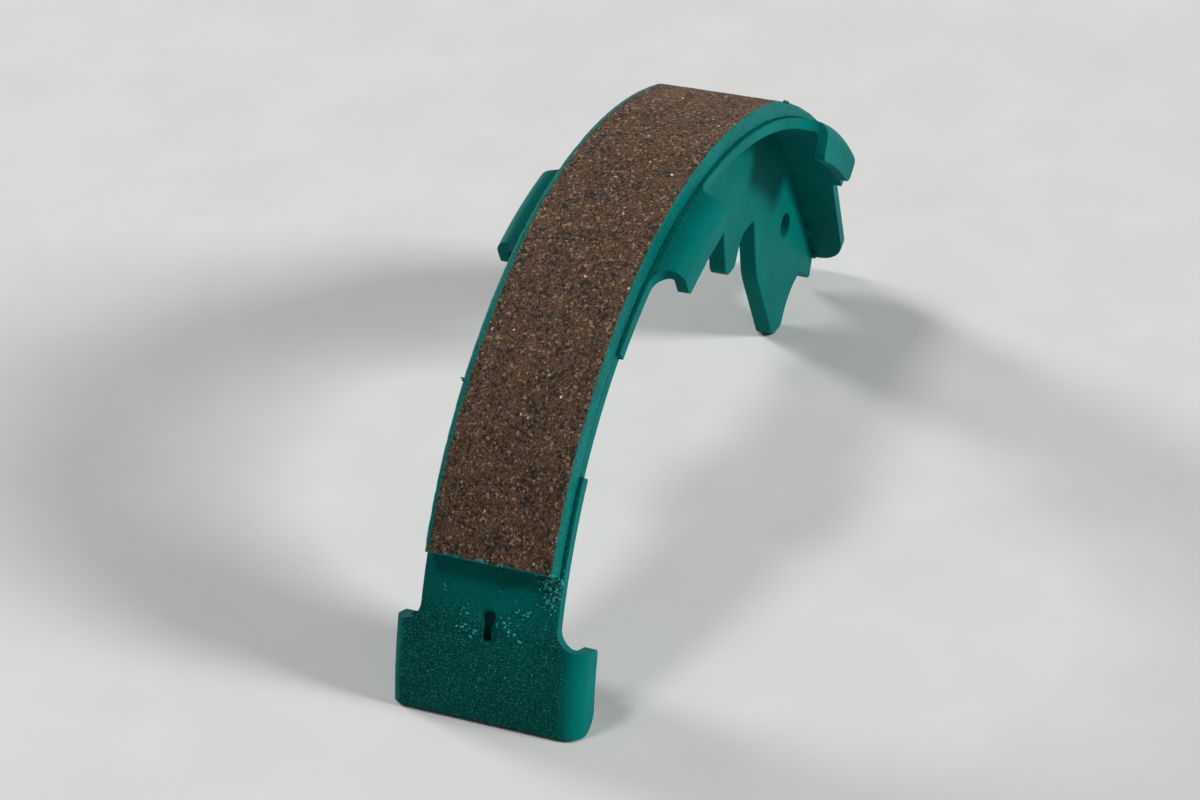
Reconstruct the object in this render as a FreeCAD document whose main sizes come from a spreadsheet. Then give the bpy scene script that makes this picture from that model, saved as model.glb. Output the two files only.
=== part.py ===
import FreeCAD, Part
import math
import os
import re
import Sketcher

# Drum brake shoe for a 180 x 25 mm parking brake: a pressed steel rim with flanged foot, tabs and tongue,
# a flat web on its centre plane, and a bonded friction lining on its back.
# All pieces are drawn about the drum axis, which is the Y axis. Angles run from -X over the top (+Z) to +X.
# The finished shoe is then turned and lowered to stand on its two foot flanges and the leg of its web.

Vector = FreeCAD.Vector

SIZES = [
    # Friction lining
    ("drum_radius", "90", "friction face"),
    ("lining_width", "25", "along the drum axis"),
    ("lining_thickness", "3.5", "radial"),
    ("lining_angle", "30.3", "square end, near the foot"),
    ("lining_end_angle", "128", "thin end, near the tongue"),
    ("ramp_span", "17.5", "degrees over which the thin end tapers"),
    ("ramp_drop", "2.9", "how far the friction face falls over the ramp"),
    ("glue_line", "0.1", "adhesive between lining and rim"),
    # Rim pressing
    ("sheet_thickness", "2.2", "of the rim"),
    ("neck_reach", "0.8", "how far each edge of the rim stands beyond the lining"),
    ("flange_reach", "5.4", "how far a flange of foot and middle stands beyond that edge"),
    ("flange_depth", "6.6", "from the back of the rim to the free edge of those flanges"),
    ("bend_inside", "0.9", "inside radius where a flange turns down"),
    ("foot_angle", "10.8", "lower end of the foot"),
    ("foot_span", "10.9", "degrees of flange at the foot"),
    ("mid_tab_angle", "70.1", "start of the middle tabs"),
    ("mid_tab_span", "13.5", "degrees of middle tab"),
    ("far_tab_angle", "122.6", "start of the far tabs"),
    ("far_tab_turn", "20.5", "degrees of the tongue's bend that the far tabs follow"),
    ("far_reach", "4.1", "how far a far tab stands beyond the rim's edge"),
    ("far_depth", "7.6", "from the back of the rim to the free edge of the far tabs"),
    ("far_corner", "2", "round at the end of a far tab"),
    ("relief_bite", "0.4", "how far the round beside a flange cuts into its sheet"),
    ("relief_reach", "9", "how far a relief runs along the rim"),
    ("foot_corner", "3.9", "round at the foot's lowest point"),
    ("tab_corner", "4.1", "large round of a middle tab"),
    ("small_corner", "1.2", "all other flange corners"),
    ("waist_angle", "42.2", "first narrow stretch, flush with the lining"),
    ("waist_span", "15.4", "degrees"),
    ("scallop_angle", "99.5", "middle of the shallow hollow in each edge between middle and far tabs"),
    ("scallop_length", "42", "of that hollow"),
    ("scallop_depth", "1.5", "of that hollow"),
    ("slot_angle", "22.7", "middle of the slot in the foot"),
    ("slot_width", "2.2", "along the drum axis"),
    ("slot_length", "5.6", "round the rim"),
    ("slot_corner", "0.6", "rounds of the slot"),
    ("slot_dish", "0.6", "chamfer round the slot's mouth"),
    # Tongue, the flat end of the rim
    ("tongue_angle", "124.5", "where the rim leaves the drum's arc"),
    ("tongue_turn", "33.5", "degrees that it bends inwards"),
    ("tongue_bend", "47", "inside radius of that bend"),
    ("tongue_length", "25.6", "flat part"),
    ("tongue_root_width", "24.4", "above the shoulder"),
    ("tongue_shoulder_width", "20.6", "below the shoulder"),
    ("tongue_tip_width", "16.6", "at the tip"),
    ("tongue_shoulder", "25.6", "from the tip up to the shoulder"),
    ("tongue_corner", "6", "round of the tip's corners"),
    # Web
    ("web_thickness", "3.6", "of the plate"),
    ("weld_gap", "0.05", "between the web's edge and the rim"),
    ("web_depth", "18", "from the rim inwards, over the plain stretch"),
    ("web_angle", "17", "end of the web above the foot"),
    ("web_end_corner", "3", "round of that end, on the hollow side"),
    ("lug_left", "27.8", "straight side of the hooked lug, from the drum axis"),
    ("lug_width", "4.6", "of the lug's tip"),
    ("lug_tip_height", "45", "above the drum axis"),
    ("lug_corner", "2.1", "rounds of the lug's tip"),
    ("step_height", "50", "edge between lug and leg, above the drum axis"),
    ("step_run", "6.4", "length of that edge"),
    ("leg_left", "43.1", "straight side of the leg, from the drum axis"),
    ("leg_knee", "37", "height at which the leg starts to slant"),
    ("knee_round", "12", "round of that knee"),
    ("leg_tip_height", "18.8", "lowest edge of the leg, above the drum axis"),
    ("leg_tip_shift", "7", "how far the slant carries the tip"),
    ("leg_tip_width", "4.9", "of the leg's tip"),
    ("leg_corner", "2.2", "round of the leg's tip towards the foot"),
    ("leg_heel_corner", "1.6", "round of the leg's tip towards the hollow"),
    ("step_corner", "5", "round from that edge to the lug"),
    ("arch_height", "25.2", "top of the hollow between leg and heel"),
    ("arch_run", "16.1", "from the leg's tip to the top of the hollow"),
    ("arch_radius", "15", "of the hollow"),
    ("heel_width", "4.1", "from the tongue to the heel's point"),
    ("heel_reach", "2.2", "how far the heel passes the tongue's tip"),
    ("heel_corner", "0.7", "round of the heel's point"),
    ("notch_corner", "1", "rounds of the two inside corners beside the leg"),
    ("edge_round", "0.35", "round of the plate's free edges"),
    ("hole_radius", "2.6", "round hole in the web"),
    ("hole_distance", "71.5", "its centre, from the drum axis"),
    ("hole_angle", "145.7", "its direction"),
    # Worked out from the sizes above
    ("lining_inner", "=drum_radius - lining_thickness", "face that is glued"),
    ("rim_outer", "=lining_inner - glue_line", "back of the rim"),
    ("rim_inner", "=rim_outer - sheet_thickness", "hollow side of the rim"),
    ("rim_width", "=lining_width + 2 * neck_reach", "at its neck and nibs"),
    ("channel_width", "=rim_width + 2 * flange_reach", "over the flanges of foot and middle"),
    ("far_width", "=rim_width + 2 * far_reach", "over the far tabs"),
    ("flange_edge", "=rim_outer - flange_depth", "free edge of the flanges of foot and middle"),
    ("far_edge", "=rim_outer - far_depth", "free edge of the far tabs"),
    ("bend_outside", "=bend_inside + sheet_thickness", "outside radius of a flange's bend"),
    ("ramp_angle", "=lining_end_angle - ramp_span", "start of the ramp"),
    ("foot_flange_end", "=foot_angle + foot_span", "upper end of the foot's flanges"),
    ("mid_tab_end", "=mid_tab_angle + mid_tab_span", ""),
    ("split_angle", "=(mid_tab_end + far_tab_angle) / 2", "where the two channels meet, between the tabs"),
    ("cut_outer", "=rim_outer + 5", "outer reach of the side cuts"),
    ("cut_inner", "=min(flange_edge; far_edge) - 5", "inner reach of the side cuts"),
    ("cut_half", "=max(channel_width; far_width) / 2 + 5", "sideways reach of the side cuts"),
    ("relief_radius", "=flange_reach - sheet_thickness + relief_bite", "beside foot and middle tabs"),
    ("far_relief_radius", "=far_reach - sheet_thickness + relief_bite", "before the far tabs"),
    ("tongue_relief_radius", "=(far_width - tongue_root_width) / 2 - sheet_thickness + relief_bite",
     "between the far tabs and the tongue"),
    ("groove_lead", "=relief_reach / 2 / rim_outer * 180 / pi + 1", "from a flange to its side cut"),
    ("web_outer", "=rim_inner - weld_gap", "edge welded to the rim"),
    ("web_inner", "=web_outer - web_depth", "free edge over the plain stretch"),
    ("tongue_facing", "=tongue_angle + tongue_turn", "direction that the tongue faces"),
    ("bend_centre", "=rim_inner - tongue_bend", "of the tongue's bend, from the drum axis"),
    ("tongue_plane", "=bend_centre * cos(tongue_turn) + tongue_bend", "inner face, from the drum axis"),
    ("tongue_top", "=0 - bend_centre * sin(tongue_turn)", "start of the flat, along the tongue"),
    ("far_tab_facing", "=tongue_angle + far_tab_turn", "direction that the end of a far tab faces"),
    ("far_tab_end", "=0 - bend_centre * sin(far_tab_turn)", "end of a far tab, along its own direction"),
    ("far_tip_radius", "=tongue_bend + sheet_thickness - far_depth", "free edge of a far tab, in that bend"),
    ("taper_start",
     "=tongue_top - tongue_bend * sin(tongue_turn - far_tab_turn) + relief_reach / 2",
     "start of the tongue's own side edges, along the tongue"),
    ("tongue_tip", "=tongue_top + tongue_length", "end of the flat, along the tongue"),
    ("shoulder", "=tongue_tip - tongue_shoulder", "place of the shoulder, along the tongue"),
    ("foot_side", "=sqrt((flange_edge + foot_corner)^2 - foot_corner^2)",
     "centre of the foot's round, from the drum axis along the end of the foot"),
    ("foot_x", "=0 - foot_side * cos(foot_angle) + foot_corner * sin(foot_angle)", "centre of that round"),
    ("foot_z", "=foot_side * sin(foot_angle) + foot_corner * cos(foot_angle)", "centre of that round"),
    ("arch_rise", "=arch_height - leg_tip_height", "from the leg's tip to the top of the hollow"),
    ("arch_chord", "=sqrt((arch_run - leg_tip_width)^2 + arch_rise^2)", "across the hollow's round side"),
    ("arch_lean", "=atan2(arch_rise; arch_run - leg_tip_width) + asin(arch_chord / 2 / arch_radius)",
     "slope of the leg at its tip, on the side of the hollow"),
    ("leg_x", "=leg_left + leg_tip_shift + leg_tip_width - leg_heel_corner * tan(arch_lean / 2)",
     "centre of the round that the leg stands on"),
    ("leg_z", "=leg_tip_height + leg_heel_corner", "centre of that round"),
    ("contact_span", "=sqrt((leg_x - foot_x)^2 + (leg_z - foot_z)^2)", "between the two rounds"),
    ("rest_turn",
     "=atan2(leg_z - foot_z; leg_x - foot_x) + asin((foot_corner - leg_heel_corner) / contact_span)",
     "turn that levels the two rounds on the ground"),
    ("shift_x", "0", "brings the middle of the standing shoe over its origin"),
    ("shift_z", "0", "lowers the standing shoe to the ground"),
]
NAMES = {name for name, value, note in SIZES}

doc = FreeCAD.newDocument("brake_shoe")
sheet = doc.addObject("Spreadsheet::Sheet", "Sizes")
for row, (name, value, note) in enumerate(SIZES, start=1):
    sheet.set(f"A{row}", name)
    sheet.set(f"B{row}", value)
    sheet.set(f"C{row}", note)
    sheet.setAlias(f"B{row}", name)
doc.recompute()


def number(formula):
    """Value of a formula in the sheet's names, in millimetres or degrees."""
    value = sheet.evalExpression(formula)
    return float(getattr(value, "Value", value))


def bind(thing, place, formula):
    """Ties a property or constraint to a formula in the sheet's names."""
    linked = re.sub(r"[a-z_]+", lambda word: "Sizes." + word[0] if word[0] in NAMES else word[0], formula)
    thing.setExpression(place, linked)


def polar(radius, angle):
    """A point about the drum axis, as two formulas."""
    return f"-({radius}) * cos({angle})", f"({radius}) * sin({angle})"


def on_tongue(height, along):
    """A point given by its height over the drum axis towards the tongue, and its place along the tongue."""
    return (f"-({height}) * cos(tongue_facing) + ({along}) * sin(tongue_facing)",
            f"({height}) * sin(tongue_facing) + ({along}) * cos(tongue_facing)")


def new_body(name):
    body = doc.addObject("PartDesign::Body", name)
    body.Label = name
    return body


def new_sketch(body, name, role, turn=None):
    """A sketch on one of the body's planes, which may be turned about the drum axis."""
    plane = next(item for item in body.Origin.OriginFeatures if item.Role == role)
    sketch = body.newObject("Sketcher::SketchObject", name)
    sketch.AttachmentSupport = [(plane, "")]
    sketch.MapMode = "FlatFace"
    if turn:
        drum_axis = Vector(1, 0, 0) if role == "YZ_Plane" else Vector(0, 1, 0)
        sketch.AttachmentOffset = FreeCAD.Placement(Vector(), FreeCAD.Rotation(drum_axis, number(turn)))
        bind(sketch, "AttachmentOffset.Rotation.Angle", turn)
    return sketch


def arc_between(start, end, radius, way):
    """The short arc from start to end; way is 1 where it turns left and -1 where it turns right."""
    middle = (start + end) * 0.5
    along = end - start
    side = Vector(-along.y, along.x, 0).normalize() * way
    centre = middle + side * math.sqrt(radius ** 2 - (along.Length / 2) ** 2)
    first, last = (start, end) if way > 0 else (end, start)
    angles = [math.atan2(point.y - centre.y, point.x - centre.x) for point in (first, last)]
    return Part.ArcOfCircle(Part.Circle(centre, Vector(0, 0, 1), radius), *angles)


def outline(sketch, corners, arcs=None, rounds=None):
    """Closes a loop through corners. Arcs holds the round sides, rounds the corners that are rounded."""
    arcs = arcs or {}
    rounds = rounds or {}
    points = [Vector(number(across), number(up), 0) for across, up in corners]
    tag = sketch.GeometryCount
    sides = []
    for index, start in enumerate(points):
        end = points[(index + 1) % len(points)]
        if index in arcs:
            radius, way = arcs[index]
            side = sketch.addGeometry(arc_between(start, end, number(radius), way), False)
            sides.append((side, 1, 2) if way > 0 else (side, 2, 1))
            spot = sketch.addConstraint(Sketcher.Constraint("Radius", side, number(radius)))
            sketch.renameConstraint(spot, f"arc{tag}_{index}")
            bind(sketch, f"Constraints.arc{tag}_{index}", radius)
        else:
            side = sketch.addGeometry(Part.LineSegment(start, end), False)
            sides.append((side, 1, 2))
    for (side, first, last), (following, start, end) in zip(sides, sides[1:] + sides[:1]):
        sketch.addConstraint(Sketcher.Constraint("Coincident", side, last, following, start))
    for index, radius in rounds.items():
        side, start, end = sides[index]
        arc = sketch.GeometryCount
        sketch.fillet(side, start, number(radius), True, True)
        sides[index] = (arc + 1, 1, 2)
        spot = sketch.addConstraint(Sketcher.Constraint("Radius", arc, number(radius)))
        sketch.renameConstraint(spot, f"round{tag}_{index}")
        bind(sketch, f"Constraints.round{tag}_{index}", radius)
    for index, ((across, up), point) in enumerate(zip(corners, points)):
        side, start, end = sides[index]
        for kind, formula, size in (("DistanceX", across, point.x), ("DistanceY", up, point.y)):
            spot = sketch.addConstraint(Sketcher.Constraint(kind, -1, 1, side, start, size))
            name = f"{'across' if kind == 'DistanceX' else 'up'}{tag}_{index}"
            sketch.renameConstraint(spot, name)
            bind(sketch, f"Constraints.{name}", formula)


def both_sides(sketch, corners, arcs=None):
    """The same outline on both sides of the centre plane, which is the sketch's second axis."""
    outline(sketch, corners, arcs)
    mirrored = [(f"-({across})", up) for across, up in corners]
    turned = {side: (radius, -way) for side, (radius, way) in (arcs or {}).items()}
    outline(sketch, mirrored, turned)


def feature(body, kind, name, profile, **formulas):
    made = body.newObject("PartDesign::" + kind, name)
    made.Profile = profile
    for place, formula in formulas.items():
        bind(made, place, formula)
    return made


def pad_both_ways(body, name, profile, thickness):
    made = feature(body, "Pad", name, profile, Length=thickness)
    made.SideType = "Symmetric"
    doc.recompute()
    return made


def turned(body, kind, name, profile, angle, axis="V_Axis"):
    """A revolution or groove towards growing angles, about the drum axis or a line of the sketch."""
    made = feature(body, kind, name, profile, Angle=angle)
    made.ReferenceAxis = (profile, [axis])
    doc.recompute()
    return made


def cut_outwards(body, name, profile):
    """A pocket from the drum axis outwards through the rim."""
    made = feature(body, "Pocket", name, profile, Length="cut_outer")
    doc.recompute()
    return made


def edge_names(shape, wanted):
    return [f"Edge{index}" for index, edge in enumerate(shape.Edges, start=1) if wanted(edge)]


def dress(body, kind, name, wanted, place, formula):
    """Rounds or bevels the edges of the body's last feature that wanted picks out."""
    last = body.Tip
    made = body.newObject("PartDesign::" + kind, name)
    made.Base = (last, edge_names(last.Shape, wanted))
    bind(made, place, formula)
    doc.recompute()
    return made


def across_at(*spots):
    """Picks edges that run along the drum axis through the given spots, each a pair of formulas."""
    places = [(number(along), number(up)) for along, up in spots]

    def wanted(edge):
        if len(edge.Vertexes) != 2:
            return False
        ends = [vertex.Point for vertex in edge.Vertexes]
        straight = abs(ends[0].x - ends[1].x) < 1e-4 and abs(ends[0].z - ends[1].z) < 1e-4
        return straight and any(math.hypot(ends[0].x - x, ends[0].z - z) < 0.01 for x, z in places)

    return wanted


def channel_outline(sketch, half, edge):
    """Section of the pressed channel: half its width, and how far from the drum axis its flanges end."""
    inside = f"{half} - sheet_thickness"
    corners = [("-rim_outer", half), ("-" + edge, half), ("-" + edge, inside), ("-rim_inner", inside)]
    mirrored = [(across, f"-({up})") for across, up in reversed(corners)]
    rounds = {0: "bend_outside", 3: "bend_inside", 4: "bend_inside", 7: "bend_outside"}
    outline(sketch, corners + mirrored, rounds=rounds)


def upright_axis(sketch, across, length):
    """A construction line beside the drum axis, to turn a section about."""
    place, half = number(across), number(length) / 2
    line = sketch.addGeometry(Part.LineSegment(Vector(place, -half, 0), Vector(place, half, 0)), True)
    sketch.addConstraint(Sketcher.Constraint("Symmetric", line, 1, line, 2, -1))
    sizes = [("DistanceX", (-1, 1, line, 1), across), ("DistanceY", (line, 1, line, 2), length)]
    for kind, places, formula in sizes:
        spot = sketch.addConstraint(Sketcher.Constraint(kind, *places, number(formula)))
        sketch.renameConstraint(spot, f"axis_{kind}")
        bind(sketch, f"Constraints.axis_{kind}", formula)


def build_rim():
    body = new_body("shoe_rim")
    near = new_sketch(body, "channel_section", "XY_Plane", "foot_angle")
    channel_outline(near, "channel_width / 2", "flange_edge")
    turned(body, "Revolution", "channel", near, "split_angle - foot_angle")
    far = new_sketch(body, "far_section", "XY_Plane", "split_angle")
    channel_outline(far, "far_width / 2", "far_edge")
    turned(body, "Revolution", "far_channel", far, "tongue_angle - split_angle")
    bend = new_sketch(body, "bend_section", "XY_Plane", "tongue_angle")
    channel_outline(bend, "far_width / 2", "far_edge")
    upright_axis(bend, "-bend_centre", "far_width")
    turned(body, "Revolution", "bend", bend, "tongue_turn", "Axis0")

    side = new_sketch(body, "tongue_side", "XZ_Plane")
    outline(side, [on_tongue("tongue_plane", "tongue_top"), on_tongue("tongue_plane", "tongue_tip"),
                   on_tongue("tongue_plane + sheet_thickness", "tongue_tip"),
                   on_tongue("tongue_plane + sheet_thickness", "tongue_top")])
    pad_both_ways(body, "tongue", side, "rim_width")
    plan = new_sketch(body, "tongue_plan", "YZ_Plane", "tongue_facing")
    both_sides(plan, [("tongue_root_width / 2", "taper_start"),
                      ("tongue_root_width / 2", "shoulder"),
                      ("tongue_shoulder_width / 2", "shoulder"),
                      ("tongue_tip_width / 2", "tongue_tip"),
                      ("cut_half", "tongue_tip"),
                      ("cut_half", "taper_start")])
    cut_outwards(body, "tongue_taper", plan)

    stretches = [("first", "foot_flange_end", "mid_tab_angle"), ("second", "mid_tab_end", "far_tab_angle")]
    for name, start, end in stretches:
        cut = new_sketch(body, f"{name}_edge_section", "XY_Plane", f"{start} + groove_lead")
        both_edges(cut, "rim_width / 2")
        turned(body, "Groove", f"{name}_edge", cut, f"{end} - {start} - 2 * groove_lead")
    cut = new_sketch(body, "waist_section", "XY_Plane", "waist_angle")
    both_edges(cut, "lining_width / 2")
    turned(body, "Groove", "waist", cut, "waist_span")
    scallop = new_sketch(body, "scallop_plan", "YZ_Plane", "scallop_angle")
    both_sides(scallop, [("rim_width / 2", "-scallop_length / 2"), ("rim_width / 2", "scallop_length / 2"),
                         ("cut_half", "scallop_length / 2"), ("cut_half", "-scallop_length / 2")],
               arcs={0: ("scallop_length ^ 2 / 8 / scallop_depth + scallop_depth / 2", 1)})
    cut_outwards(body, "scallop", scallop)

    add_relief(body, "foot_relief", "foot_flange_end", "0", 1, "rim_width / 2", "relief_radius")
    add_relief(body, "mid_relief", "mid_tab_angle", "0", -1, "rim_width / 2", "relief_radius")
    add_relief(body, "mid_end_relief", "mid_tab_end", "0", 1, "rim_width / 2", "relief_radius")
    add_relief(body, "far_relief", "far_tab_angle", "0", -1, "rim_width / 2", "far_relief_radius")
    add_relief(body, "tongue_relief", "far_tab_facing", "far_tab_end", 1, "tongue_root_width / 2",
               "tongue_relief_radius")

    slot = new_sketch(body, "slot_plan", "YZ_Plane", "slot_angle")
    wide, long = "slot_width / 2", "slot_length / 2"
    outline(slot, [(wide, long), ("-" + wide, long), ("-" + wide, "-" + long), (wide, "-" + long)],
            rounds={corner: "slot_corner" for corner in range(4)})
    cut_outwards(body, "slot", slot)
    dress(body, "Chamfer", "slot_mouth", slot_mouth_edge, "Size", "slot_dish")

    foot = across_at(polar("flange_edge", "foot_angle"))
    dress(body, "Fillet", "foot_rounds", foot, "Radius", "foot_corner")
    middle = across_at(polar("flange_edge", "mid_tab_end"))
    dress(body, "Fillet", "tab_rounds", middle, "Radius", "tab_corner")
    others = [polar("flange_edge", "foot_flange_end"), polar("flange_edge", "mid_tab_angle"),
              polar("far_edge", "far_tab_angle")]
    dress(body, "Fillet", "flange_corners", across_at(*others), "Radius", "small_corner")
    far_end = ("-bend_centre * cos(tongue_angle) - far_tip_radius * cos(far_tab_facing)",
               "bend_centre * sin(tongue_angle) + far_tip_radius * sin(far_tab_facing)")
    dress(body, "Fillet", "far_tab_rounds", across_at(far_end), "Radius", "far_corner")
    dress(body, "Fillet", "tip_rounds", tip_edge, "Radius", "tongue_corner")
    return body


def add_relief(body, name, angle, start, way, edge, radius):
    """Frees the end of a flange on both sides: a cut up to the rim's edge with a round inside corner."""
    relief = new_sketch(body, name + "_plan", "YZ_Plane", angle)
    end = f"{start} + {way} * relief_reach"
    both_sides(relief, [(f"{edge} + {radius}", start), (edge, f"{start} + {way} * {radius}"),
                        (edge, end), ("cut_half", end), ("cut_half", start)],
               arcs={0: (radius, -way)})
    cut_outwards(body, name, relief)


def both_edges(sketch, edge):
    """Two rectangles that take everything beyond an edge on each side of the rim."""
    for side in ("", "-"):
        outline(sketch, [("-cut_outer", side + f"({edge})"), ("-cut_outer", side + "cut_half"),
                         ("-cut_inner", side + "cut_half"), ("-cut_inner", side + f"({edge})")])


def slot_mouth_edge(edge):
    """An edge of the slot that lies on the back of the rim."""
    limit = number("slot_length")
    x, z = number("-rim_outer * cos(slot_angle)"), number("rim_outer * sin(slot_angle)")
    middle = edge.BoundBox.Center
    close = math.hypot(middle.x - x, middle.z - z) < limit / 2 + 0.5 and abs(middle.y) < limit / 2
    reach = [math.hypot(vertex.Point.x, vertex.Point.z) for vertex in edge.Vertexes]
    return close and all(abs(distance - number("rim_outer")) < 1e-3 for distance in reach)


def tip_edge(edge):
    """One of the two short edges at the corners of the tongue's tip."""
    facing = Vector(*(number(part) for part in ("-cos(tongue_facing)", "0", "sin(tongue_facing)")))
    along = Vector(facing.z, 0, -facing.x)
    ends = [vertex.Point for vertex in edge.Vertexes]
    if len(ends) != 2:
        return False
    at_tip = all(abs(point.dot(along) - number("tongue_tip")) < 1e-3 for point in ends)
    return at_tip and abs(abs((ends[0] - ends[1]).dot(facing)) - number("sheet_thickness")) < 1e-3


def build_web(rim):
    body = new_body("web_plate")
    side = new_sketch(body, "web_side", "XZ_Plane")
    tip_left = "leg_left + leg_tip_shift"
    inside = "tongue_plane - weld_gap"
    corners = [
        polar("web_outer", "web_angle"), polar("web_outer", "tongue_angle"),
        on_tongue(inside, "tongue_top"), on_tongue(inside, "tongue_tip - heel_reach / 2"),
        on_tongue(inside + " - heel_width", "tongue_tip + heel_reach"),
        (tip_left + " + arch_run", "arch_height"), (tip_left + " + leg_tip_width", "leg_tip_height"),
        (tip_left, "leg_tip_height"), ("leg_left", "leg_knee"), ("leg_left", "step_height"),
        ("leg_left - step_run", "step_height"), ("lug_left + lug_width", "lug_tip_height"),
        ("lug_left", "lug_tip_height"), ("lug_left", "sqrt(web_inner ^ 2 - lug_left ^ 2)"),
        polar("web_inner", "web_angle"),
    ]
    outline(side, corners,
            arcs={0: ("web_outer", -1), 1: ("tongue_bend - weld_gap", -1), 5: ("arch_radius", 1),
                  13: ("web_inner", 1)},
            rounds={4: "heel_corner", 7: "leg_corner", 8: "knee_round", 9: "notch_corner",
                    10: "step_corner", 11: "lug_corner", 12: "lug_corner"})
    pad_both_ways(body, "plate", side, "web_thickness")
    ends_of_arcs = [("notch", 5, "notch_corner"), ("leg_heel", 6, "leg_heel_corner"),
                    ("web_end", 14, "web_end_corner")]
    for name, corner, radius in ends_of_arcs:
        dress(body, "Fillet", f"{name}_round", across_at(corners[corner]), "Radius", radius)
    dress(body, "Fillet", "plate_edges", free_edge(rim), "Radius", "edge_round")
    ring = new_sketch(body, "hole_outline", "XZ_Plane")
    centre = polar("hole_distance", "hole_angle")
    add_circle(ring, centre, "hole_radius")
    hole = feature(body, "Pocket", "hole", ring, Length="web_thickness")
    hole.SideType = "Symmetric"
    doc.recompute()
    return body


def free_edge(rim):
    """Picks the edges of the plate's faces, apart from those that are welded to the rim."""
    def wanted(edge):
        middle = edge.valueAt((edge.FirstParameter + edge.LastParameter) / 2)
        on_face = all(abs(abs(spot.y) - number("web_thickness") / 2) < 1e-4
                      for spot in [middle] + [vertex.Point for vertex in edge.Vertexes])
        return on_face and Part.Vertex(middle).distToShape(rim.Shape)[0] > 2 * number("weld_gap")

    return wanted


def add_circle(sketch, centre, radius):
    across, up = centre
    middle = Vector(number(across), number(up), 0)
    ring = sketch.addGeometry(Part.Circle(middle, Vector(0, 0, 1), number(radius)), False)
    sizes = [("Radius", (ring,), radius), ("DistanceX", (-1, 1, ring, 3), across),
             ("DistanceY", (-1, 1, ring, 3), up)]
    for kind, places, formula in sizes:
        spot = sketch.addConstraint(Sketcher.Constraint(kind, *places, number(formula)))
        sketch.renameConstraint(spot, f"ring_{kind}")
        bind(sketch, f"Constraints.ring_{kind}", formula)


def build_lining():
    body = new_body("friction_lining")
    side = new_sketch(body, "lining_side", "XZ_Plane")
    outline(side,
            [polar("drum_radius", "lining_angle"), polar("drum_radius", "ramp_angle"),
             polar("drum_radius - ramp_drop", "lining_end_angle"), polar("lining_inner", "lining_end_angle"),
             polar("lining_inner", "lining_angle")],
            arcs={0: ("drum_radius", -1), 3: ("lining_inner", 1)})
    pad_both_ways(body, "block", side, "lining_width")
    return body


def stand(bodies):
    """Turns the shoe to its resting pose and puts its origin under its middle, on the ground."""
    level = FreeCAD.Rotation(Vector(0, 1, 0), number("rest_turn"))
    for body in bodies:
        body.Placement = FreeCAD.Placement(Vector(), level)
        bind(body, "Placement.Rotation.Angle", "rest_turn")
        bind(body, "Placement.Base.x", "shift_x")
        bind(body, "Placement.Base.z", "shift_z")
    doc.recompute()
    whole = Part.makeCompound([body.Shape for body in bodies]).optimalBoundingBox(False)
    for name, value in (("shift_x", -whole.Center.x), ("shift_z", -whole.ZMin)):
        sheet.set(sheet.getCellFromAlias(name), f"{value:.6f}")
    doc.recompute()


rim = build_rim()
bodies = [rim, build_web(rim), build_lining()]
stand(bodies)

for item in doc.Objects:
    if "Invalid" in item.State or "Error" in item.State:
        raise RuntimeError(f"{item.Name} failed: {item.State}")
os.makedirs("parts", exist_ok=True)
for body in bodies:
    shape = body.Shape
    if shape.isNull() or not shape.isValid() or len(shape.Solids) != 1:
        raise RuntimeError(f"{body.Label} is not one valid solid")
    shape.exportStep(f"parts/{body.Label}.step")
    box = shape.BoundBox
    print(f"{body.Label}: volume {shape.Volume:.1f} mm3, x {box.XMin:.2f}..{box.XMax:.2f}, "
          f"y {box.YMin:.2f}..{box.YMax:.2f}, z {box.ZMin:.2f}..{box.ZMax:.2f}")
places = ", ".join(f"{number(name):.3f}" for name in ("rest_turn", "shift_x", "shift_z"))
print("turned by (degrees) and moved along x and z by (mm):", places)
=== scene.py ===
"""Brake shoe: camera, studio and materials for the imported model."""
import itertools
import math
import random

import bmesh
import bpy
import numpy as np
from mathutils import Matrix, Vector


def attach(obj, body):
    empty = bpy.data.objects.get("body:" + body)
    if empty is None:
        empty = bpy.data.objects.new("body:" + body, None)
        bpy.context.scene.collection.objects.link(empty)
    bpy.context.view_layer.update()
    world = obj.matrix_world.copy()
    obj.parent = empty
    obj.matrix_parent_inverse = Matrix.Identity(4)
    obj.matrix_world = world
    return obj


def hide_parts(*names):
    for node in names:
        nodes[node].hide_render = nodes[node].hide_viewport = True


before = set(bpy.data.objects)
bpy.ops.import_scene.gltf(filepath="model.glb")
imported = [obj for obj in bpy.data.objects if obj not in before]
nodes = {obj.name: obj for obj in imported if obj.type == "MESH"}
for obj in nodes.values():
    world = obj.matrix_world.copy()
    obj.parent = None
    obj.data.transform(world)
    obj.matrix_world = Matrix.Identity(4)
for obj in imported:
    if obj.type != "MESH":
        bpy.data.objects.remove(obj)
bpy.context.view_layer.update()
scene = bpy.context.scene

# How the shoe stands: turned about the drum axis and moved, in degrees and metres
REST_TURN = 1.353
SHIFT = Vector((0.003804, 0, -0.017514))
LEVEL = Matrix.Rotation(math.radians(REST_TURN), 3, "Y")

# Sizes of the shoe, in metres and in degrees round the drum axis
MM = 0.001
DRUM_RADIUS = 90 * MM
LINING_THICKNESS = 3.5 * MM
LINING_WIDTH = 25 * MM
LINING_HALF = LINING_WIDTH / 2
LINING_START, LINING_END = 30.3, 128
RAMP_START, RAMP_DROP = 110.5, 2.9 * MM
RIM_OUTER = 86.4 * MM
RIM_HALF = 13.3 * MM
HOLLOW_HALF = 12.2 * MM
HOLLOWS = ((41, 59), (84, 115))
FOOT_START = 10.8
FLANGE_START = 15.4 * MM
SLOT_START, SLOT_END, SLOT_HALF = 20.3, 25.1, 1.5 * MM
WEB_HALF = 1.8 * MM
TONGUE_FACING, TONGUE_PLANE = 158, 78.02 * MM

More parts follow.
